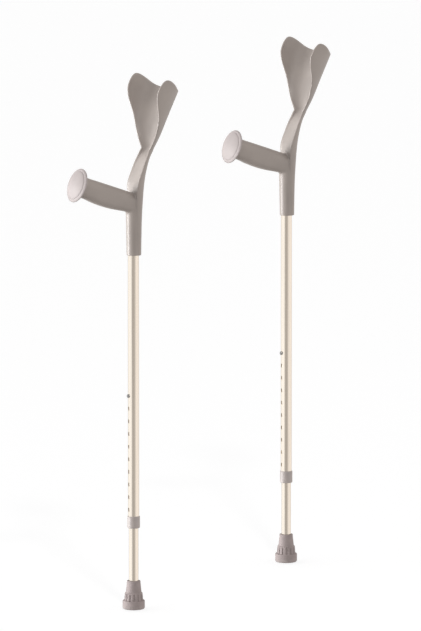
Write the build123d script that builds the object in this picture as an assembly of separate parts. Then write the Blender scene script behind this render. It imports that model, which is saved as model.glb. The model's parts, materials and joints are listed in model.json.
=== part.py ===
from build123d import *
import math
import os

# A matched pair of open-cuff forearm crutches, in millimetres.
# The origin is on the floor under the centre of the left crutch's ferrule.
# +Z is up along the stem and the grips point towards -X, which is forward.
# Each crutch is symmetrical about the plane through its stem and its grip.

# ---- where the second crutch stands, seen from the first ----
RIGHT_CRUTCH_OFFSET = (523.0, 304.0, 0.0)

# ---- stem ----
OUTER_TUBE_R = 11.0
INNER_TUBE_R = 9.5
TUBE_WALL = 1.2
SLIDE_CLEARANCE = 0.05
OUTER_TUBE_BOTTOM_Z = 163.0
OUTER_TUBE_TOP_Z = 800.0
INNER_TUBE_BOTTOM_Z = 8.5
INNER_TUBE_TOP_Z = 512.0

# ---- height adjustment ----
HOLE_COUNT = 10
HOLE_PITCH = 25.0
TOP_HOLE_Z = 422.0
HOLE_R = 3.55
HOLE_CUT_LENGTH = 20.0

# ---- snap button and its spring ----
BUTTON_R = 3.48
BUTTON_TIP_X = -14.6
BUTTON_SHOULDER_X = -13.0
BUTTON_FLANGE_R = 4.4
BUTTON_FLANGE_X = -6.9
BUTTON_FLANGE_THICKNESS = 0.7
RIVET_TAIL_R = 1.5
RIVET_TAIL_LENGTH = 1.3
SPRING_THICKNESS = 0.5
SPRING_WIDTH = 7.0
SPRING_BACK_X = 7.4
SPRING_LEG_TOP_Z = 430.0
SPRING_BACK_TOP_Z = 426.0
SPRING_BEND_Z = 385.0

# ---- guide plug in the inner tube's upper end ----
GUIDE_FLANGE_HEIGHT = 5.0
GUIDE_STEM_LENGTH = 16.0
GUIDE_BORE_R = 5.5

# ---- collar on the outer tube's lower end ----
COLLAR_BOTTOM_Z = 160.5
COLLAR_TOP_Z = 184.0
COLLAR_R = 12.4
COLLAR_CHAMFER = 0.9

# ---- rubber ferrule ----
FERRULE_BASE_R = 21.75
FERRULE_BASE_TOP_Z = 17.5
FERRULE_SOLE_ROUND = 3.5
FERRULE_SHOULDER_ROUND = 2.0
RIB_RING_BOTTOM_R = 19.4
RIB_RING_TOP_R = 17.3
RIB_RING_TOP_Z = 32.5
RIB_RING_ROUND = 1.2
FERRULE_CONE_BOTTOM_R = 17.2
FERRULE_CONE_TOP_R = 12.9
FERRULE_TOP_Z = 56.0
FERRULE_LIP_HEIGHT = 4.4
FERRULE_LIP_R = 13.4
FERRULE_LIP_ROUND = 1.2
SLOT_COUNT = 14
SLOT_WIDTH = 3.0
SLOT_BOTTOM_Z = 16.5
SLOT_TOP_Z = 30.5
SLOT_FLOOR_R = 16.2
TREAD_GROOVE_DEPTH = 2.0
TREAD_GROOVE_WIDTH = 2.2
TREAD_GROOVE_RADII = (7.0, 12.0, 16.5)
WASHER_THICKNESS = 1.5
WASHER_BORE_R = 3.0

# ---- handle: socket over the tube ----
SOCKET_BOTTOM_Z = 699.0
SOCKET_BOTTOM_R = 13.3
SOCKET_TOP_Z = 812.0
SOCKET_TOP_R = 15.4

# ---- handle: arm, as level sections ----
# height, front edge x, half width at the front edge, back x, squareness of the
# back, half width of the front channel, depth of the front channel
ARM_SECTIONS = (
    (699.0, 3.9, 13.3, 14.4, 2.5, 11.0, 0.4),
    (735.0, 2.2, 14.2, 15.0, 2.5, 11.5, 0.4),
    (772.0, 0.1, 15.2, 16.1, 2.5, 12.5, 0.5),
    (812.0, -2.3, 18.8, 18.0, 2.5, 16.0, 0.8),
    (836.0, -2.3, 22.0, 19.2, 2.5, 19.2, 1.2),
    (863.0, 6.6, 21.4, 23.8, 2.4, 18.6, 2.4),
    (888.0, 17.5, 20.0, 31.8, 2.2, 17.0, 5.5),
)

# ---- handle: cuff, as level circular sections ----
# height, centre x, outer radius, half angle from the back, wall
CUFF_SECTIONS = (
    (906.0, 24.4, 18.4, 82.0, 4.6),
    (925.0, 15.4, 35.4, 68.0, 4.0),
    (966.0, 15.2, 52.3, 75.0, 3.6),
    (1020.0, 31.1, 61.0, 100.5, 3.4),
    (1056.0, 45.2, 62.8, 103.0, 3.4),
)

# ---- handle: side view of the cuff's upper rim, front to back ----
RIM_PROFILE = (
    (14.0, 1000.0),
    (21.0, 1022.0),
    (29.0, 1038.5),
    (40.5, 1047.0),
    (52.0, 1043.5),
    (64.0, 1034.0),
    (76.0, 1023.5),
    (90.0, 1019.0),
    (112.0, 1018.0),
)
# the arm and the cuff are drawn through level outlines about this far apart, each
# outline through points at these shares of its sweep from the middle of the back
LEVEL_GAP = 12.0
SWEEP_SHARES = (1.0, 0.72, 0.4, 0.0, -0.4, -0.72, -1.0)
SHELL_EDGE_ROUND = 1.2
RIM_CUT_TOP_Z = 1090.0
RIM_CUT_HALF_WIDTH = 80.0

# ---- handle: grip ----
GRIP_ROOT_X = -16.5
GRIP_ROOT_Z = 806.7
GRIP_TILT_DEG = 19.5
GRIP_SQUARENESS = 2.4
# distance from the root along the grip, top above the axis, bottom below it,
# half width
GRIP_SECTIONS = (
    (-17.0, 19.0, 19.4, 15.0),
    (3.0, 19.2, 21.0, 15.3),
    (28.0, 19.5, 23.8, 16.1),
    (52.0, 19.7, 24.6, 16.6),
    (76.0, 19.8, 23.4, 16.5),
    (97.0, 19.9, 21.0, 16.0),
    (106.5, 20.6, 20.9, 16.4),
    (113.5, 25.0, 25.0, 20.8),
)
GRIP_LEVEL_GAP = 5.5
# the rounding where the grip's underside runs into the stem, between these heights
GRIP_UNDERSIDE_ZONE = (783.0, 800.0)
GRIP_UNDERSIDE_ROUND = 6.0
GRIP_SOCKET_R = 9.0
GRIP_SOCKET_DEPTH = 24.0

# ---- grip end cap ----
CAP_BACK_U = 113.5
CAP_R = 33.8
CAP_RIM_THICKNESS = 3.6
CAP_DOME_HEIGHT = 9.0
CAP_GROOVE_SHARE = 0.86
CAP_GROOVE_HALF_WIDTH = 0.9
CAP_GROOVE_DEPTH = 1.0
CAP_PLUG_LENGTH = 18.0

# ---- handle fixing screw, in the back of the socket ----
SCREW_Z = 728.0
SCREW_R = 1.9
SCREW_HEAD_R = 3.8
SCREW_HEAD_HEIGHT = 2.2
SCREW_TIP_X = 7.5
SCREW_HEAD_BACK_X = 14.2
SCREW_RECESS_R = 0.6
SCREW_SLOT_DEPTH = 1.1


def superellipse_point(angle_deg, half_x, half_y, squareness):
    """A point on a rounded outline that is squarer as squareness grows above 2."""
    c = math.cos(math.radians(angle_deg))
    s = math.sin(math.radians(angle_deg))
    power = 2.0 / squareness
    x = math.copysign(abs(c) ** power, c) * half_x
    y = math.copysign(abs(s) ** power, s) * half_y
    return x, y


def channel_face(z, outline):
    """A level C-shaped face. The outline runs round its back, then round its channel."""
    half = len(outline) // 2
    outer = [(x, y, z) for x, y in outline[:half]]
    inner = [(x, y, z) for x, y in outline[half:]]
    edges = [
        Spline(outer),
        Line(outer[-1], inner[-1]),
        Spline(inner[::-1]),
        Line(inner[0], outer[0]),
    ]
    return Face(Wire(edges))


def arm_outline(front_x, half_width, back_x, squareness, channel_half, channel_depth):
    outer = []
    inner = []
    for share in SWEEP_SHARES:
        x, y = superellipse_point(
            90.0 * share, back_x - front_x, half_width, squareness
        )
        outer.append((front_x + x, y))
        x, y = superellipse_point(90.0 * share, channel_depth, channel_half, 2.0)
        inner.append((front_x + x, y))
    return outer + inner


def cuff_outline(centre_x, radius, half_angle, wall):
    points = []
    for arc_radius in (radius, radius - wall):
        for share in SWEEP_SHARES:
            angle = math.radians(half_angle * share)
            x = centre_x + arc_radius * math.cos(angle)
            points.append((x, arc_radius * math.sin(angle)))
    return points


def slope(heights, values, index):
    """How steeply a value changes at one of its given heights."""
    last = len(heights) - 1
    below = max(index - 1, 0)
    above = min(index + 1, last)
    if below == index or above == index:
        return (values[above] - values[below]) / (heights[above] - heights[below])
    gap_below = heights[index] - heights[below]
    gap_above = heights[above] - heights[index]
    rise_below = (values[index] - values[below]) / gap_below
    rise_above = (values[above] - values[index]) / gap_above
    return (rise_below * gap_above + rise_above * gap_below) / (gap_below + gap_above)


def between(heights, values, z, corner_z=None, sharpness=0.0):
    """The value at a height on a smooth curve through the given ones.

    At corner_z the curve may turn a corner: with sharpness 1 it runs straight there.
    """
    index = sum(1 for height in heights[1:-1] if height <= z)
    gap = heights[index + 1] - heights[index]
    t = (z - heights[index]) / gap
    straight = values[index + 1] - values[index]
    start = slope(heights, values, index) * gap
    end = slope(heights, values, index + 1) * gap
    if heights[index] == corner_z:
        start += sharpness * (straight - start)
    if heights[index + 1] == corner_z:
        end += sharpness * (straight - end)
    return (
        (2 * t**3 - 3 * t**2 + 1) * values[index]
        + (t**3 - 2 * t**2 + t) * start
        + (3 * t**2 - 2 * t**3) * values[index + 1]
        + (t**3 - t**2) * end
    )


def even_levels(low, high, gap):
    count = math.ceil((high - low) / gap)
    return [low + (high - low) * step / count for step in range(count + 1)]


def arm_and_cuff():
    """The arm and the cuff, whose front edges turn a corner at the waist they share."""
    rows = [(row[0], arm_outline(*row[1:])) for row in ARM_SECTIONS]
    rows += [(row[0], cuff_outline(*row[1:])) for row in CUFF_SECTIONS]
    heights = [z for z, _ in rows]
    waist_z = CUFF_SECTIONS[0][0]
    tracks = []
    for number in range(2 * len(SWEEP_SHARES)):
        xs = [outline[number][0] for _, outline in rows]
        ys = [outline[number][1] for _, outline in rows]
        sharpness = SWEEP_SHARES[number % len(SWEEP_SHARES)] ** 2
        tracks.append((xs, ys, sharpness))

    def part_between(low, high):
        faces = []
        for z in even_levels(low, high, LEVEL_GAP):
            at_level = [
                (
                    between(heights, xs, z, waist_z, sharpness),
                    between(heights, ys, z, waist_z, sharpness),
                )
                for xs, ys, sharpness in tracks
            ]
            faces.append(channel_face(z, at_level))
        return loft(faces)

    return part_between(heights[0], waist_z) + part_between(waist_z, heights[-1])


def grip_plane(distance):
    """The plane across the grip, its X to the side and its Y up the grip's section."""
    tilt = math.radians(GRIP_TILT_DEG)
    along = Vector(-math.cos(tilt), 0, math.sin(tilt))
    root = Vector(GRIP_ROOT_X, 0, GRIP_ROOT_Z)
    return Plane(origin=root + along * distance, x_dir=(0, -1, 0), z_dir=along)


def grip_face(distance, top, bottom, half_width):
    middle = (top - bottom) / 2
    points = []
    for step in range(12):
        x, y = superellipse_point(
            30.0 * step, half_width, (top + bottom) / 2, GRIP_SQUARENESS
        )
        points.append((x, y + middle))
    outline = Spline(points, periodic=True)
    return grip_plane(distance) * Face(Wire([outline]))


def make_grip():
    distances = [row[0] for row in GRIP_SECTIONS]
    columns = [[row[column] for row in GRIP_SECTIONS] for column in (1, 2, 3)]
    faces = []
    for distance in even_levels(distances[0], distances[-1], GRIP_LEVEL_GAP):
        sizes = [between(distances, column, distance) for column in columns]
        faces.append(grip_face(distance, *sizes))
    return loft(faces)


def tube(radius, wall, bottom_z, top_z):
    ring = Circle(radius) - Circle(radius - wall)
    return extrude(Plane.XY.offset(bottom_z) * ring, top_z - bottom_z)


def front_hole(radius, z):
    """A cylinder through the front wall of a tube, along X."""
    plane = Plane(origin=(-HOLE_CUT_LENGTH, 0, z), z_dir=(1, 0, 0))
    return extrude(plane * Circle(radius), HOLE_CUT_LENGTH)


def make_outer_tube():
    body = tube(OUTER_TUBE_R, TUBE_WALL, OUTER_TUBE_BOTTOM_Z, OUTER_TUBE_TOP_Z)
    for number in range(HOLE_COUNT):
        body -= front_hole(HOLE_R, TOP_HOLE_Z - number * HOLE_PITCH)
    return body - screw_core()


def make_inner_tube():
    body = tube(INNER_TUBE_R, TUBE_WALL, INNER_TUBE_BOTTOM_Z, INNER_TUBE_TOP_Z)
    return body - front_hole(HOLE_R, TOP_HOLE_Z)


def make_guide():
    flange_r = OUTER_TUBE_R - TUBE_WALL - SLIDE_CLEARANCE
    stem_r = INNER_TUBE_R - TUBE_WALL
    flange = extrude(
        Plane.XY.offset(INNER_TUBE_TOP_Z) * Circle(flange_r), GUIDE_FLANGE_HEIGHT
    )
    stem = extrude(Plane.XY.offset(INNER_TUBE_TOP_Z) * Circle(stem_r), -GUIDE_STEM_LENGTH)
    bore_plane = Plane.XY.offset(INNER_TUBE_TOP_Z - GUIDE_STEM_LENGTH)
    bore = extrude(
        bore_plane * Circle(GUIDE_BORE_R), GUIDE_STEM_LENGTH + GUIDE_FLANGE_HEIGHT
    )
    body = flange + stem - bore
    top_rim = body.edges().filter_by(GeomType.CIRCLE).sort_by(Axis.Z)[-2:]
    return chamfer(top_rim, 0.6)


def dome_middle(radius, height):
    """A point half way up a ball's cap of this radius: its distance out and its rise."""
    ball_r = (radius**2 + height**2) / (2 * height)
    angle = math.asin(radius / ball_r) / 2
    return ball_r * math.sin(angle), height - ball_r * (1 - math.cos(angle))


def make_button():
    """A domed pin that points along -X, with a flange and a rivet tail behind it."""
    tail_x = BUTTON_FLANGE_X + BUTTON_FLANGE_THICKNESS
    outline = Polyline(
        (BUTTON_SHOULDER_X, BUTTON_R),
        (BUTTON_FLANGE_X, BUTTON_R),
        (BUTTON_FLANGE_X, BUTTON_FLANGE_R),
        (tail_x, BUTTON_FLANGE_R),
        (tail_x, RIVET_TAIL_R),
        (tail_x + RIVET_TAIL_LENGTH, RIVET_TAIL_R),
        (tail_x + RIVET_TAIL_LENGTH, 0),
        (BUTTON_TIP_X, 0),
    )
    side, rise = dome_middle(BUTTON_R, BUTTON_SHOULDER_X - BUTTON_TIP_X)
    dome = ThreePointArc(
        (BUTTON_TIP_X, 0),
        (BUTTON_SHOULDER_X - rise, side),
        (BUTTON_SHOULDER_X, BUTTON_R),
    )
    section = Face(Wire([*outline.edges(), *dome.edges()]))
    turned = revolve(section, Axis.X)
    return Pos(0, 0, TOP_HOLE_Z) * turned


def make_spring():
    """A strip bent to a U, its front leg under the button, its back leg on the wall."""
    front_x = BUTTON_FLANGE_X + BUTTON_FLANGE_THICKNESS + SPRING_THICKNESS / 2
    back_x = SPRING_BACK_X - SPRING_THICKNESS / 2
    half = SPRING_WIDTH / 2
    path = Wire(
        [
            Line((front_x, -half, SPRING_LEG_TOP_Z), (front_x, -half, SPRING_BEND_Z)),
            ThreePointArc(
                (front_x, -half, SPRING_BEND_Z),
                ((front_x + back_x) / 2, -half, SPRING_BEND_Z - (back_x - front_x) / 2),
                (back_x, -half, SPRING_BEND_Z),
            ),
            Line((back_x, -half, SPRING_BEND_Z), (back_x, -half, SPRING_BACK_TOP_Z)),
        ]
    )
    start = Plane(
        origin=(front_x, 0, SPRING_LEG_TOP_Z), x_dir=(1, 0, 0), z_dir=(0, 0, -1)
    )
    profile = start * Pos(0, 0, 0) * Rectangle(SPRING_THICKNESS, SPRING_WIDTH)
    path = path.moved(Location((0, half, 0)))
    strip = sweep(profile, path=path)
    rivet_hole = Plane(origin=(front_x - 2, 0, TOP_HOLE_Z), z_dir=(1, 0, 0))
    return strip - extrude(rivet_hole * Circle(RIVET_TAIL_R), 4)


def make_collar():
    body = extrude(
        Plane.XY.offset(COLLAR_BOTTOM_Z) * Circle(COLLAR_R), COLLAR_TOP_Z - COLLAR_BOTTOM_Z
    )
    body = chamfer(body.edges().filter_by(GeomType.CIRCLE), COLLAR_CHAMFER)
    body -= extrude(
        Plane.XY.offset(OUTER_TUBE_BOTTOM_Z) * Circle(OUTER_TUBE_R),
        COLLAR_TOP_Z - OUTER_TUBE_BOTTOM_Z,
    )
    body -= extrude(
        Plane.XY.offset(COLLAR_BOTTOM_Z) * Circle(INNER_TUBE_R + SLIDE_CLEARANCE),
        OUTER_TUBE_BOTTOM_Z - COLLAR_BOTTOM_Z,
    )
    return body


def rib_slot(angle_deg):
    """An upright slot with round ends, sunk into the ferrule's side between two ribs."""
    height = SLOT_TOP_Z - SLOT_BOTTOM_Z
    middle_z = (SLOT_TOP_Z + SLOT_BOTTOM_Z) / 2
    plane = Plane(origin=(SLOT_FLOOR_R, 0, middle_z), x_dir=(0, 0, 1), z_dir=(1, 0, 0))
    slot = extrude(plane * SlotOverall(height, SLOT_WIDTH), FERRULE_BASE_R - SLOT_FLOOR_R)
    return slot.rotate(Axis.Z, angle_deg)


def cone(bottom_r, top_r, bottom_z, top_z):
    return Solid.make_cone(
        bottom_r, top_r, top_z - bottom_z, plane=Plane.XY.offset(bottom_z)
    )


def make_ferrule():
    base = extrude(Circle(FERRULE_BASE_R), FERRULE_BASE_TOP_Z)
    base = fillet(base.edges().sort_by(Axis.Z)[0], FERRULE_SOLE_ROUND)
    base = fillet(base.edges().sort_by(Axis.Z)[-1], FERRULE_SHOULDER_ROUND)
    ribs_from_z = FERRULE_SOLE_ROUND
    ribs = cone(RIB_RING_BOTTOM_R, RIB_RING_TOP_R, ribs_from_z, RIB_RING_TOP_Z)
    ribs = fillet(ribs.edges().sort_by(Axis.Z)[-1], RIB_RING_ROUND)
    body = base + ribs
    for number in range(SLOT_COUNT):
        body -= rib_slot((number + 0.5) * 360.0 / SLOT_COUNT)
    body += cone(FERRULE_CONE_BOTTOM_R, FERRULE_CONE_TOP_R, SLOT_BOTTOM_Z, FERRULE_TOP_Z)
    lip_plane = Plane.XY.offset(FERRULE_TOP_Z - FERRULE_LIP_HEIGHT)
    lip = extrude(lip_plane * Circle(FERRULE_LIP_R), FERRULE_LIP_HEIGHT)
    body += fillet(lip.edges().filter_by(GeomType.CIRCLE), FERRULE_LIP_ROUND)
    socket_floor = INNER_TUBE_BOTTOM_Z - WASHER_THICKNESS
    body -= extrude(
        Plane.XY.offset(socket_floor) * Circle(INNER_TUBE_R), FERRULE_TOP_Z - socket_floor
    )
    for radius in TREAD_GROOVE_RADII:
        groove = Circle(radius + TREAD_GROOVE_WIDTH / 2) - Circle(
            radius - TREAD_GROOVE_WIDTH / 2
        )
        body -= extrude(groove, TREAD_GROOVE_DEPTH)
    return body


def make_washer():
    plane = Plane.XY.offset(INNER_TUBE_BOTTOM_Z - WASHER_THICKNESS)
    return extrude(plane * (Circle(INNER_TUBE_R) - Circle(WASHER_BORE_R)), WASHER_THICKNESS)


def screw_core():
    """The screw's shank and head, which the handle and the tube are cut to take."""
    plane = Plane(origin=(SCREW_TIP_X, 0, SCREW_Z), z_dir=(1, 0, 0))
    shank = extrude(plane * Circle(SCREW_R), SCREW_HEAD_BACK_X - SCREW_TIP_X)
    head_plane = Plane(origin=(SCREW_HEAD_BACK_X, 0, SCREW_Z), z_dir=(1, 0, 0))
    head = extrude(head_plane * Circle(SCREW_HEAD_R), -SCREW_HEAD_HEIGHT)
    return shank + head


def make_screw():
    body = screw_core()
    recess_plane = Plane(origin=(SCREW_HEAD_BACK_X, 0, SCREW_Z), z_dir=(1, 0, 0))
    arm = Rectangle(2 * SCREW_RECESS_R, 1.4 * SCREW_HEAD_R)
    cross = arm + Rectangle(1.4 * SCREW_HEAD_R, 2 * SCREW_RECESS_R)
    return body - extrude(recess_plane * cross, -SCREW_SLOT_DEPTH)


def make_cap():
    """A domed disc with a ring groove, and a plug that pushes into the grip."""
    top = CAP_RIM_THICKNESS
    groove_r = CAP_GROOVE_SHARE * CAP_R
    outline = Polyline(
        (0, -CAP_PLUG_LENGTH),
        (GRIP_SOCKET_R, -CAP_PLUG_LENGTH),
        (GRIP_SOCKET_R, 0),
        (CAP_R - 1.2, 0),
        (CAP_R, 1.2),
        (CAP_R, top - 1.2),
        (CAP_R - 1.4, top),
    )
    side, rise = dome_middle(CAP_R - 1.4, CAP_DOME_HEIGHT)
    dome = ThreePointArc(
        (CAP_R - 1.4, top), (side, top + rise), (0, top + CAP_DOME_HEIGHT)
    )
    spine = Line((0, top + CAP_DOME_HEIGHT), (0, -CAP_PLUG_LENGTH))
    section = Face(Wire([*outline.edges(), *dome.edges(), *spine.edges()]))
    body = revolve(Plane.XZ * section, Axis.Z)
    ring = Circle(groove_r + CAP_GROOVE_HALF_WIDTH) - Circle(
        groove_r - CAP_GROOVE_HALF_WIDTH
    )
    groove = extrude(Plane.XY.offset(top + CAP_GROOVE_DEPTH) * ring, CAP_DOME_HEIGHT)
    return grip_plane(CAP_BACK_U).location * (body - groove)


def rim_cutter():
    """Everything above the cuff's upper rim, as wide as the cuff."""
    points = [(x, -RIM_CUT_HALF_WIDTH, z) for x, z in RIM_PROFILE]
    last = points[-1]
    first = points[0]
    edges = [
        Spline(points),
        Line(last, (last[0], last[1], RIM_CUT_TOP_Z)),
        Line((last[0], last[1], RIM_CUT_TOP_Z), (first[0], first[1], RIM_CUT_TOP_Z)),
        Line((first[0], first[1], RIM_CUT_TOP_Z), first),
    ]
    return extrude(Face(Wire(edges)), 2 * RIM_CUT_HALF_WIDTH, dir=(0, 1, 0))


def round_longest_edge(body, zone, radius):
    """Rounds the long edge at which the grip runs into the stem, between two heights."""
    edges = body.edges().filter_by_position(Axis.Z, zone[0], zone[1])
    return fillet(edges.sort_by(SortBy.LENGTH)[-1], radius)


def make_handle():
    shell = arm_and_cuff() - rim_cutter()
    shell = fillet(shell.edges(), SHELL_EDGE_ROUND)
    socket = Solid.make_cone(
        SOCKET_BOTTOM_R,
        SOCKET_TOP_R,
        SOCKET_TOP_Z - SOCKET_BOTTOM_Z,
        plane=Plane.XY.offset(SOCKET_BOTTOM_Z),
    )
    body = shell + socket + make_grip()
    body = round_longest_edge(body, GRIP_UNDERSIDE_ZONE, GRIP_UNDERSIDE_ROUND)
    body -= extrude(
        Plane.XY.offset(SOCKET_BOTTOM_Z) * Circle(OUTER_TUBE_R),
        OUTER_TUBE_TOP_Z - SOCKET_BOTTOM_Z,
    )
    body -= extrude(grip_plane(CAP_BACK_U) * Circle(GRIP_SOCKET_R), -GRIP_SOCKET_DEPTH)
    access_plane = Plane(origin=(SCREW_HEAD_BACK_X, 0, SCREW_Z), z_dir=(1, 0, 0))
    body -= extrude(access_plane * Circle(SCREW_HEAD_R), 10)
    return body - screw_core()


def make_crutch():
    return {
        "handle": make_handle(),
        "grip_end_cap": make_cap(),
        "outer_tube": make_outer_tube(),
        "handle_screw": make_screw(),
        "tube_collar": make_collar(),
        "inner_tube": make_inner_tube(),
        "inner_tube_guide": make_guide(),
        "snap_button": make_button(),
        "button_spring": make_spring(),
        "ferrule": make_ferrule(),
        "ferrule_washer": make_washer(),
    }


os.makedirs("parts", exist_ok=True)
for name, shape in make_crutch().items():
    export_step(shape, f"parts/left_{name}.step")
    export_step(Pos(*RIGHT_CRUTCH_OFFSET) * shape, f"parts/right_{name}.step")
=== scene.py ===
import json
import math

import bmesh
import bpy
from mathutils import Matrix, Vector

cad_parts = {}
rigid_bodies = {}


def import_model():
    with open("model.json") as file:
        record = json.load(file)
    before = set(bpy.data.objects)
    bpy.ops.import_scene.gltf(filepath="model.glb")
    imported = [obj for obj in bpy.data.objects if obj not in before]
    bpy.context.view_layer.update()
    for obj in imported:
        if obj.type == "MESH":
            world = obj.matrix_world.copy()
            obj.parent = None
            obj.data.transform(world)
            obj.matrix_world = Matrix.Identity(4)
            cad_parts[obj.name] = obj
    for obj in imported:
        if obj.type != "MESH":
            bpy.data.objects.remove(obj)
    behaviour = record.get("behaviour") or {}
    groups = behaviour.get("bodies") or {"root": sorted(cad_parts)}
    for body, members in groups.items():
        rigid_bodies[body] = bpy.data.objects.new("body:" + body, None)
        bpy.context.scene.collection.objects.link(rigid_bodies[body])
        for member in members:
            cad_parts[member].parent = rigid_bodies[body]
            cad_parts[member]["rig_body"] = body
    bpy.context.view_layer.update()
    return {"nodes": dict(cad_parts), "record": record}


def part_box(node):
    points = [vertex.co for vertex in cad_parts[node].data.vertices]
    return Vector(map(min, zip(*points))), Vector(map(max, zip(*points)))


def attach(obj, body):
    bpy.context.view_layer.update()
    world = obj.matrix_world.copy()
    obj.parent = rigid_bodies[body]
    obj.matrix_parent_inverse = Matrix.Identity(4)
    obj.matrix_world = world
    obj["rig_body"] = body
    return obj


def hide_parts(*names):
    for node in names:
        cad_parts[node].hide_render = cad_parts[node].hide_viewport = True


# A pair of forearm crutches: moulded grey handles on anodised tubes, in metres.

SIDES = ("left", "right")

# ---- where the camera stands ----
CAMERA_AZIMUTH_DEG = -30.0
CAMERA_ELEVATION_DEG = 9.0
CAMERA_DISTANCE = 25.0
CAMERA_REACH = 200.0
FRAME_HEIGHT = 1.2334
SENSOR_MM = 36.0
AIM_ACROSS = 0.1501
AIM_UP = 0.5729

# ---- moulded pieces: the voxel that each is remade with, and its rounds of softening ----
MOULDINGS = {
    "handle": (0.0011, 4),
    "grip_end_cap": (0.0007, 2),
    "ferrule": (0.00055, 3),
}
SOFTENING_SHARE = 0.5
WELD_WITHIN = 1e-6
SHARP_EDGE_DEG = 32.0

# ---- the plastics, each by the name of its slot; a seam of no width isn't made ----
PLASTICS = {
    "handle_plastic": {
        "base": (0.322, 0.288, 0.268),
        "worn": (0.46, 0.42, 0.39),
        "roughness": 0.36,
        "seam_half_width": 0.0003,
    },
    "cap_plastic": {
        "base": (0.355, 0.320, 0.318),
        "worn": (0.44, 0.41, 0.40),
        "roughness": 0.58,
        "seam_half_width": 0.0,
    },
    "collar_plastic": {
        "base": (0.385, 0.345, 0.33),
        "worn": (0.36, 0.34, 0.34),
        "roughness": 0.42,
        "seam_half_width": 0.0002,
    },
    "guide_plastic": {
        "base": (0.52, 0.52, 0.50),
        "worn": (0.6, 0.6, 0.58),
        "roughness": 0.5,
        "seam_half_width": 0.0,
    },
}
# ---- the metals and the rubber ----
TUBE_CHAMPAGNE = (0.86, 0.79, 0.70)
TUBE_ROUGHNESS = 0.22
BUTTON_GREY = (0.33, 0.33, 0.33)
BUTTON_ROUGHNESS = 0.34
SPRING_GREY = (0.45, 0.45, 0.47)
SPRING_ROUGHNESS = 0.35
RUBBER_SLOT = "ferrule_rubber"
RUBBER_GREY = (0.285, 0.245, 0.243)
RUBBER_DUST = (0.42, 0.39, 0.37)
RUBBER_ROUGHNESS = 0.68

# ---- the patterns in the finishes: how many of their marks fill a metre ----
PLASTIC_CLOUDS = 14.0
PLASTIC_RUBS = 60.0
PLASTIC_ORANGE_PEEL = 420.0
PLASTIC_GRAIN = 2600.0
TUBE_FINE_LINES = (1400.0, 1400.0, 9.0)
TUBE_BROAD_LINES = (260.0, 260.0, 4.0)
TUBE_SCUFFS = (700.0, 700.0, 120.0)
STEEL_TOOL_MARKS = 3000.0
RUBBER_BLOOM = 70.0
RUBBER_GRAIN = 1800.0
RUBBER_DUST_PATCHES = 260.0
PATTERN_ROUGHNESS = 0.55
# how deep their relief is, and how high up the dust reaches, in metres
PLASTIC_RELIEF = 0.00006
METAL_RELIEF = 0.00002
RUBBER_RELIEF = 0.00008
DUST_BETWEEN = (0.001, 0.012)
# the strength at which each pattern begins to show, and the strength that shows it in full
CLOUD_BAND = (0.3, 0.7)
RUB_BAND = (0.35, 0.6)
SCUFF_BAND = (0.64, 0.74)
BLOOM_BAND = (0.35, 0.75)
DUST_BAND = (0.4, 0.6)
PLASTIC_EDGE_BAND = (0.515, 0.56)
RUBBER_EDGE_BAND = (0.52, 0.58)

# ---- the studio ----
FLOOR_HALF_WIDTH = 60.0
FLOOR_DROP = 0.0004
FLOOR_PAINT = (0.34, 0.34, 0.34)
FLOOR_ROUGHNESS = 0.9
FLOOR_GLOW_TINT = (0.975, 0.988, 1.0)
FLOOR_GLOW = 0.726
# how bright the room is on each side, as the crutches reflect it
LEFT_LEVEL = 1.16
MIDDLE_LEVEL = 0.50
RIGHT_LEVEL = 1.02
BEHIND_LEVEL = 0.80
# where one side of the room fades into the next: across the view, from -1 at the left to 1
# at the right, or for BEHIND_FADE along it, from -1 straight behind the crutches
LEFT_FADE = (-0.72, -0.40)
RIGHT_FADE = (0.28, 0.85)
BEHIND_FADE = (-0.92, -0.50)
LEFT_TINT = (1.0, 0.995, 0.99)
ROOM_TINT = (1.0, 0.955, 0.92)
# each lamp stands off from one point near the handles
LAMPS_AIM = (0.26, 0.15, 0.75)
FRONT_LAMP = {
    "towards": (-0.34, -0.94, 0.9),
    "distance": 6.0,
    "size": 0.4,
    "power": 55.0,
    "tint": (1.0, 0.97, 0.95),
}
WINDOW = {
    "towards": (-0.87, 0.46, -0.03),
    "distance": 5.0,
    "size": 2.6,
    "power": 292.0,
    "tint": (1.0, 0.99, 0.98),
}


class Value:
    """A number that varies over a surface, with the operators of arithmetic."""

    def __init__(self, owner, socket):
        self.owner = owner
        self.socket = socket

    def _with(self, operation, first, second):
        return self.owner.node(
            "ShaderNodeMath", {"operation": operation}, {0: first, 1: second}
        )

    def __add__(self, other):
        return self._with("ADD", self, other)

    __radd__ = __add__

    def __sub__(self, other):
        return self._with("SUBTRACT", self, other)

    def __rsub__(self, other):
        return self._with("SUBTRACT", other, self)

    def __mul__(self, other):
        return self._with("MULTIPLY", self, other)

    __rmul__ = __mul__


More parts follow.
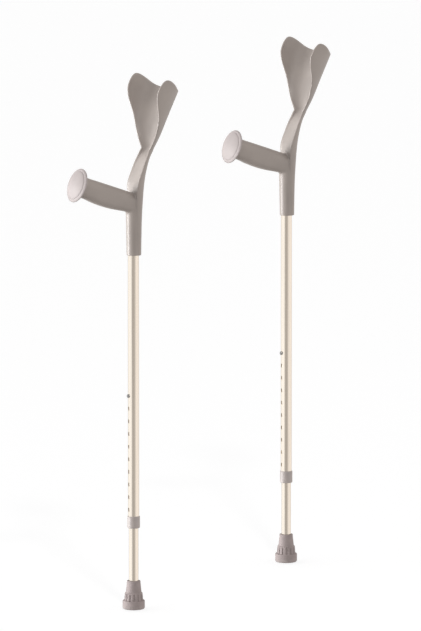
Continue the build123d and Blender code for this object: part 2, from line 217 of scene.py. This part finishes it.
class Nodes:
    """A tree of shader nodes, and one way to add any node to it."""

    def __init__(self, tree):
        self.tree = tree

    def node(self, kind, settings=None, inputs=None, output=0):
        made = self.tree.nodes.new(kind)
        for name, value in (settings or {}).items():
            setattr(made, name, value)
        for name, value in (inputs or {}).items():
            self.feed(made.inputs[name], value)
        return Value(self, made.outputs[output])

    def feed(self, socket, value):
        if isinstance(value, Value):
            self.tree.links.new(value.socket, socket)
        else:
            socket.default_value = value

    def mix(self, share, first, second):
        """The first colour where share is 0 and the second where it is 1."""
        return self.node(
            "ShaderNodeMix", {"data_type": "RGBA"}, {0: share, 6: first, 7: second}, 2
        )

    def fade(self, value, low, high, start=0.0, end=1.0):
        """Runs smoothly from start, where value is low, to end, where it is high."""
        return self.node(
            "ShaderNodeMapRange",
            {"interpolation_type": "SMOOTHSTEP"},
            {
                "Value": value,
                "From Min": low,
                "From Max": high,
                "To Min": start,
                "To Max": end,
            },
        )

    def along(self, places, direction):
        """How far each place lies along a direction."""
        return self.node(
            "ShaderNodeVectorMath",
            {"operation": "DOT_PRODUCT"},
            {0: places, 1: direction},
            "Value",
        )


class Finish(Nodes):
    """A material built up from nodes round one principled shader."""

    def __init__(self, name, origin=(0.0, 0.0, 0.0)):
        self.material = bpy.data.materials.new(name)
        self.material.use_nodes = True
        super().__init__(self.material.node_tree)
        self.shader = self.tree.nodes["Principled BSDF"]
        raw = self.node("ShaderNodeTexCoord", None, None, "Object")
        self.places = self.node(
            "ShaderNodeVectorMath", {"operation": "SUBTRACT"}, {0: raw, 1: origin}
        )

    def set(self, **values):
        for name, value in values.items():
            self.feed(self.shader.inputs[name.replace("_", " ")], value)

    def noise(self, scale, detail=2.0, stretch=(1.0, 1.0, 1.0)):
        """A cloudy pattern from 0 to 1, with this many marks to the metre."""
        places = self.node(
            "ShaderNodeMapping", None, {"Vector": self.places, "Scale": stretch}
        )
        return self.node(
            "ShaderNodeTexNoise",
            None,
            {
                "Vector": places,
                "Scale": scale,
                "Detail": detail,
                "Roughness": PATTERN_ROUGHNESS,
            },
        )

    def height(self):
        """The height of each place above the floor, while the crutch stands on it."""
        return self.node("ShaderNodeSeparateXYZ", None, {"Vector": self.places}, "Z")

    def edges(self, low, high):
        """1 on outward edges and 0 on flat ground."""
        bend = self.node("ShaderNodeNewGeometry", None, None, "Pointiness")
        return self.fade(bend, low, high)

    def seam(self, half_width):
        """1 along the line where the mould's halves meet and 0 beside it."""
        across = self.along(self.places, (0.0, 1.0, 0.0))
        distance = self.node("ShaderNodeMath", {"operation": "ABSOLUTE"}, {0: across})
        return self.fade(distance, 0.0, half_width, 1.0, 0.0)

    def bump(self, height, distance, strength):
        """Turns a pattern into relief of this depth."""
        return self.node(
            "ShaderNodeBump",
            None,
            {"Height": height, "Distance": distance, "Strength": strength},
        )


def opaque(paint, factor=1.0):
    """A paint for a socket, darker where the factor is below 1 and lighter above it."""
    return tuple(factor * part for part in paint) + (1.0,)


def moulded_plastic(name, stem, base, worn, roughness, seam_half_width):
    """Matte moulded plastic: cloudy colour, spark-eroded grain, rubbed edges, a seam."""
    finish = Finish(name, stem)
    cloud = finish.noise(PLASTIC_CLOUDS, 3.0)
    clouded = finish.fade(cloud, *CLOUD_BAND)
    body = finish.mix(clouded, opaque(base, 0.93), opaque(base, 1.06))
    rubs = finish.fade(finish.noise(PLASTIC_RUBS), *RUB_BAND)
    rubbed = finish.edges(*PLASTIC_EDGE_BAND) * rubs
    grain = finish.noise(PLASTIC_GRAIN)
    relief = 0.55 * grain + 0.45 * finish.noise(PLASTIC_ORANGE_PEEL, 1.0)
    if seam_half_width:
        relief = relief + 1.4 * finish.seam(seam_half_width)
    finish.set(
        Base_Color=finish.mix(0.35 * rubbed, body, opaque(worn)),
        Roughness=roughness + 0.10 * (cloud - 0.5) + 0.05 * (grain - 0.5) - 0.08 * rubbed,
        Normal=finish.bump(relief, PLASTIC_RELIEF, 0.8),
        Specular_IOR_Level=0.5,
    )
    return finish.material


def anodised_aluminium(name, base, roughness):
    """Drawn tube with a satin anodised skin: fine lengthwise lines and light scuffs."""
    finish = Finish(name)
    drawn = finish.noise(1.0, 3.0, TUBE_FINE_LINES)
    broad = finish.fade(finish.noise(1.0, 2.0, TUBE_BROAD_LINES), *CLOUD_BAND)
    scuff = finish.fade(finish.noise(1.0, 4.0, TUBE_SCUFFS), *SCUFF_BAND)
    finish.set(
        Base_Color=finish.mix(broad, opaque(base, 0.96), opaque(base, 1.03)),
        Metallic=1.0,
        Roughness=roughness + 0.10 * (drawn - 0.5) + 0.12 * scuff,
        Normal=finish.bump(drawn, METAL_RELIEF, 0.5),
    )
    return finish.material


def plain_steel(name, base, roughness):
    """Turned or rolled steel, with faint tool marks."""
    finish = Finish(name)
    marks = finish.noise(STEEL_TOOL_MARKS)
    finish.set(
        Base_Color=finish.mix(marks, opaque(base, 0.92), opaque(base)),
        Metallic=1.0,
        Roughness=roughness + 0.12 * (marks - 0.5),
        Normal=finish.bump(marks, METAL_RELIEF, 0.4),
    )
    return finish.material


def foot_rubber(name, base, dust, roughness):
    """Grey moulded rubber: a dry bloom, dust low down and a slightly uneven skin."""
    finish = Finish(name)
    cloud = finish.noise(RUBBER_BLOOM, 4.0)
    grain = finish.noise(RUBBER_GRAIN)
    low = finish.fade(finish.height(), *DUST_BETWEEN, 1.0, 0.0)
    bloom = finish.fade(cloud, *BLOOM_BAND)
    skin = finish.mix(bloom, opaque(base), opaque(base, 1.18))
    patches = finish.fade(finish.noise(RUBBER_DUST_PATCHES, 3.0), *DUST_BAND)
    dusty = 0.35 * low * patches + 0.25 * finish.edges(*RUBBER_EDGE_BAND)
    finish.set(
        Base_Color=finish.mix(dusty, skin, opaque(dust)),
        Roughness=roughness + 0.14 * (cloud - 0.5) + 0.1 * low,
        Normal=finish.bump(0.7 * grain + 0.3 * cloud, RUBBER_RELIEF, 0.8),
        Specular_IOR_Level=0.35,
    )
    return finish.material


def welded_copy(node, name):
    """A new object with a CAD piece's mesh, its split corners joined."""
    mesh = frame["nodes"][node].data.copy()
    work = bmesh.new()
    work.from_mesh(mesh)
    bmesh.ops.remove_doubles(work, verts=work.verts, dist=WELD_WITHIN)
    work.to_mesh(mesh)
    work.free()
    piece = bpy.data.objects.new(name, mesh)
    bpy.context.scene.collection.objects.link(piece)
    return piece


def remould(node, name, voxel, softening):
    """A piece as it leaves the mould: one even skin, its edges and corners softened."""
    piece = welded_copy(node, name)
    skin = piece.modifiers.new("even skin", "REMESH")
    skin.mode = "VOXEL"
    skin.voxel_size = voxel
    soft = piece.modifiers.new("soft corners", "SMOOTH")
    soft.factor = SOFTENING_SHARE
    soft.iterations = softening
    bpy.context.view_layer.update()
    graph = bpy.context.evaluated_depsgraph_get()
    mesh = bpy.data.meshes.new_from_object(piece.evaluated_get(graph))
    piece.modifiers.clear()
    piece.data = mesh
    mesh.shade_smooth()
    return piece


def smooth_cad(piece):
    """Shades a CAD piece's curved faces as curves and leaves its corners crisp."""
    piece.data.shade_smooth()
    piece.data.set_sharp_from_angle(angle=math.radians(SHARP_EDGE_DEG))


def paint(piece, material):
    piece.data.materials.clear()
    piece.data.materials.append(material)


def view_axes():
    """The camera's right, up and backward directions."""
    azimuth = math.radians(CAMERA_AZIMUTH_DEG)
    elevation = math.radians(CAMERA_ELEVATION_DEG)
    back = Vector(
        (
            math.sin(azimuth) * math.cos(elevation),
            -math.cos(azimuth) * math.cos(elevation),
            math.sin(elevation),
        )
    )
    right = Vector((math.cos(azimuth), math.sin(azimuth), 0.0))
    return right, back.cross(right), back


def place_camera():
    """A camera far off, as through a long lens, that sees FRAME_HEIGHT from top to bottom."""
    right, up, back = view_axes()
    data = bpy.data.cameras.new("camera")
    data.sensor_width = SENSOR_MM
    data.lens = SENSOR_MM * CAMERA_DISTANCE / FRAME_HEIGHT
    data.clip_end = CAMERA_REACH
    camera = bpy.data.objects.new("camera", data)
    camera.location = right * AIM_ACROSS + up * AIM_UP + back * CAMERA_DISTANCE
    camera.rotation_mode = "QUATERNION"
    camera.rotation_quaternion = (-back).to_track_quat("-Z", "Y")
    bpy.context.scene.collection.objects.link(camera)
    bpy.context.scene.camera = camera


def lay_floor():
    """A floor that glows almost white, and that nothing but the camera sees."""
    half = FLOOR_HALF_WIDTH
    mesh = bpy.data.meshes.new("floor")
    corners = [(-half, -half), (half, -half), (half, half), (-half, half)]
    mesh.from_pydata([(x, y, -FLOOR_DROP) for x, y in corners], [], [(0, 1, 2, 3)])
    floor = bpy.data.objects.new("floor", mesh)
    bpy.context.scene.collection.objects.link(floor)
    finish = Finish("studio floor")
    finish.set(
        Base_Color=opaque(FLOOR_PAINT),
        Roughness=FLOOR_ROUGHNESS,
        Emission_Color=opaque(FLOOR_GLOW_TINT),
        Emission_Strength=FLOOR_GLOW,
    )
    clear = finish.node("ShaderNodeBsdfTransparent")
    seen = finish.node("ShaderNodeLightPath", None, None, "Is Camera Ray")
    solid = Value(finish, finish.shader.outputs[0])
    shown = finish.node("ShaderNodeMixShader", None, {0: seen, 1: clear, 2: solid})
    out = finish.tree.nodes["Material Output"]
    finish.feed(out.inputs["Surface"], shown)
    paint(floor, finish.material)


def light_studio():
    """A room that is bright on both sides, dim in front and milder behind."""
    world = bpy.data.worlds.new("studio")
    world.use_nodes = True
    bpy.context.scene.world = world
    nodes = Nodes(world.node_tree)
    towards = nodes.node("ShaderNodeTexCoord", None, None, "Generated")
    right, _, back = view_axes()
    across = nodes.along(towards, tuple(right))
    front = nodes.along(towards, tuple(back))
    left = nodes.fade(across, *LEFT_FADE, 1.0, 0.0)
    behind = nodes.fade(front, *BEHIND_FADE, 1.0, 0.0)
    level = nodes.fade(across, *RIGHT_FADE, MIDDLE_LEVEL, RIGHT_LEVEL)
    level = level + left * (LEFT_LEVEL - level)
    level = level + behind * (BEHIND_LEVEL - level)
    tint = nodes.mix(left, opaque(ROOM_TINT), opaque(LEFT_TINT))
    background = world.node_tree.nodes["Background"]
    nodes.feed(background.inputs["Color"], tint)
    seen = nodes.node("ShaderNodeLightPath", None, None, "Is Camera Ray")
    nodes.feed(background.inputs["Strength"], seen + (1.0 - seen) * level)


def hang_lamp(name, towards, distance, size, power, tint):
    """A square soft lamp that points back at the crutches."""
    data = bpy.data.lights.new(name, "AREA")
    data.size = size
    data.energy = power
    data.color = tint
    lamp = bpy.data.objects.new(name, data)
    direction = Vector(towards).normalized()
    lamp.location = Vector(LAMPS_AIM) + direction * distance
    lamp.rotation_mode = "QUATERNION"
    lamp.rotation_quaternion = (-direction).to_track_quat("-Z", "Y")
    bpy.context.scene.collection.objects.link(lamp)
    return lamp


def mix_plastics(side):
    """One crutch's plastics, whose seams run down the middle of its tube."""
    low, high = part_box(f"{side}_outer_tube")
    stem = ((low.x + high.x) / 2, (low.y + high.y) / 2, 0.0)
    return {
        slot: moulded_plastic(f"{side}_{slot}", stem, **recipe)
        for slot, recipe in PLASTICS.items()
    }


def make_piece(node, kind):
    """The CAD piece itself with smooth shading, or its moulding where it is moulded."""
    if kind not in MOULDINGS:
        piece = frame["nodes"][node]
        smooth_cad(piece)
        return piece
    voxel, softening = MOULDINGS[kind]
    piece = remould(node, f"{node}_moulding", voxel, softening)
    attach(piece, frame["nodes"][node]["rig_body"])
    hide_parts(node)
    return piece


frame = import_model()
slots = {part["node"]: part["material_slot"] for part in frame["record"]["subparts"]}

shared_finishes = {
    "anodised_tube": anodised_aluminium("anodised_tube", TUBE_CHAMPAGNE, TUBE_ROUGHNESS),
    "button_steel": plain_steel("button_steel", BUTTON_GREY, BUTTON_ROUGHNESS),
    "spring_steel": plain_steel("spring_steel", SPRING_GREY, SPRING_ROUGHNESS),
    RUBBER_SLOT: foot_rubber(RUBBER_SLOT, RUBBER_GREY, RUBBER_DUST, RUBBER_ROUGHNESS),
}
matte_pieces = bpy.data.collections.new("plastic and rubber pieces")
for side in SIDES:
    finishes = shared_finishes | mix_plastics(side)
    for node, slot in slots.items():
        crutch, kind = node.split("_", 1)
        if crutch == side:
            piece = make_piece(node, kind)
            paint(piece, finishes[slot])
            if slot in PLASTICS or slot == RUBBER_SLOT:
                matte_pieces.objects.link(piece)

place_camera()
lay_floor()
light_studio()
hang_lamp("front lamp", **FRONT_LAMP)
# the window lights the plastic and the rubber, while the bare metal mirrors the room
window = hang_lamp("window", **WINDOW)
window.light_linking.receiver_collection = matte_pieces
bpy.context.scene.view_settings.view_transform = "Standard"
